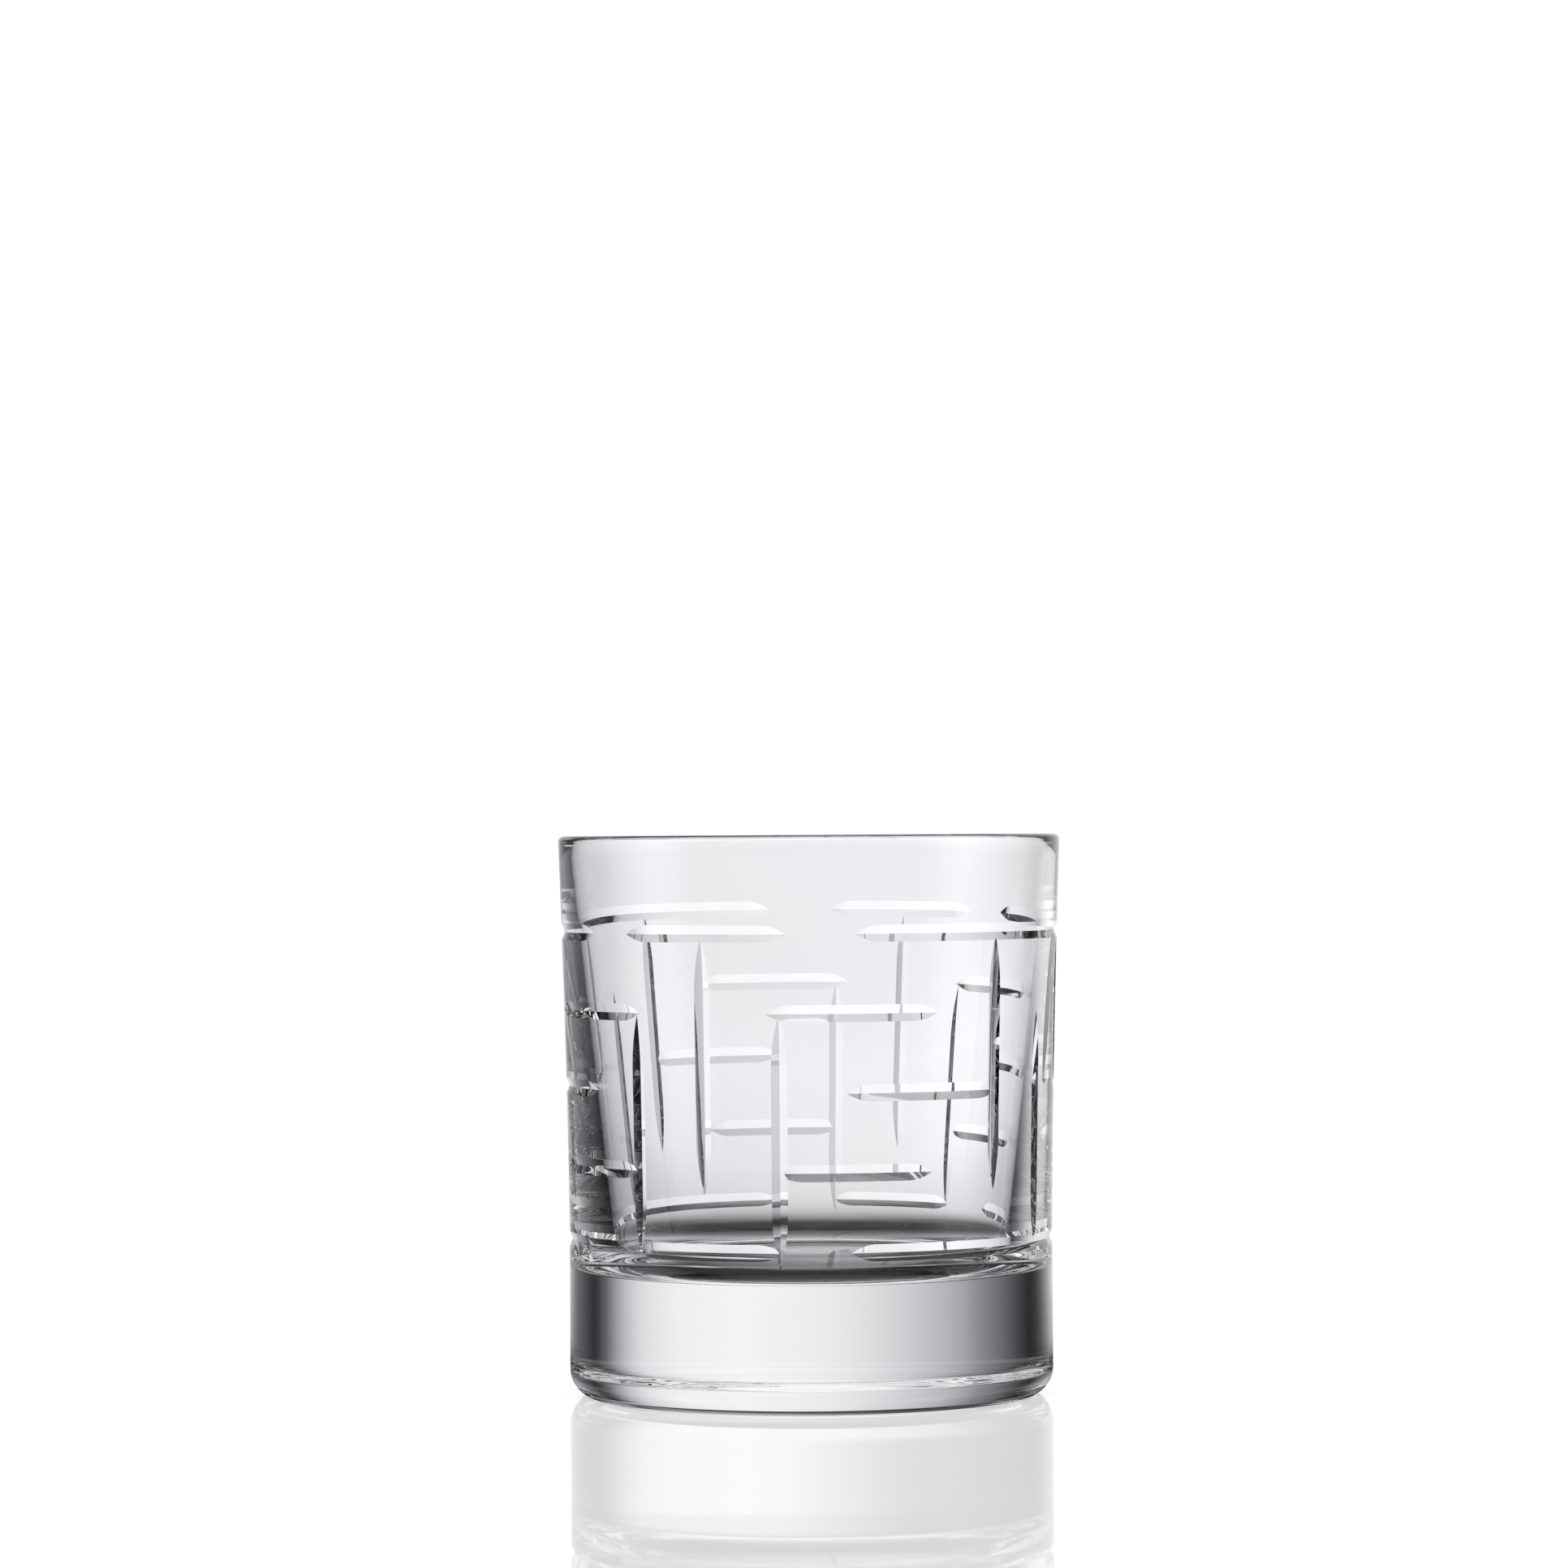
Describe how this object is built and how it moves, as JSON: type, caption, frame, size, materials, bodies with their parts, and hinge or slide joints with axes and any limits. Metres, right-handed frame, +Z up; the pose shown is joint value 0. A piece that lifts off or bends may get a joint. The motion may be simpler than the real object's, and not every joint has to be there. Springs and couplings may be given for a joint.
{
  "type": "whiskey tumbler",
  "caption": "Low, nearly straight glass tumbler with a heavy solid base, a thin rounded rim and a fret of V cuts round the outside, for short drinks.",
  "frame": {"origin": "centre of the flat underside, where the tumbler stands", "axes": "+Z up along the tumbler's axis, -Y towards the front of the fret, +X to the right of the front"},
  "size_m": [0.081, 0.081, 0.09],
  "materials": {
    "clear_glass": "polished, clear and colourless"
  },
  "bodies": {
    "root": {"glass_body": "clear_glass"}
  },
  "joints": []
}
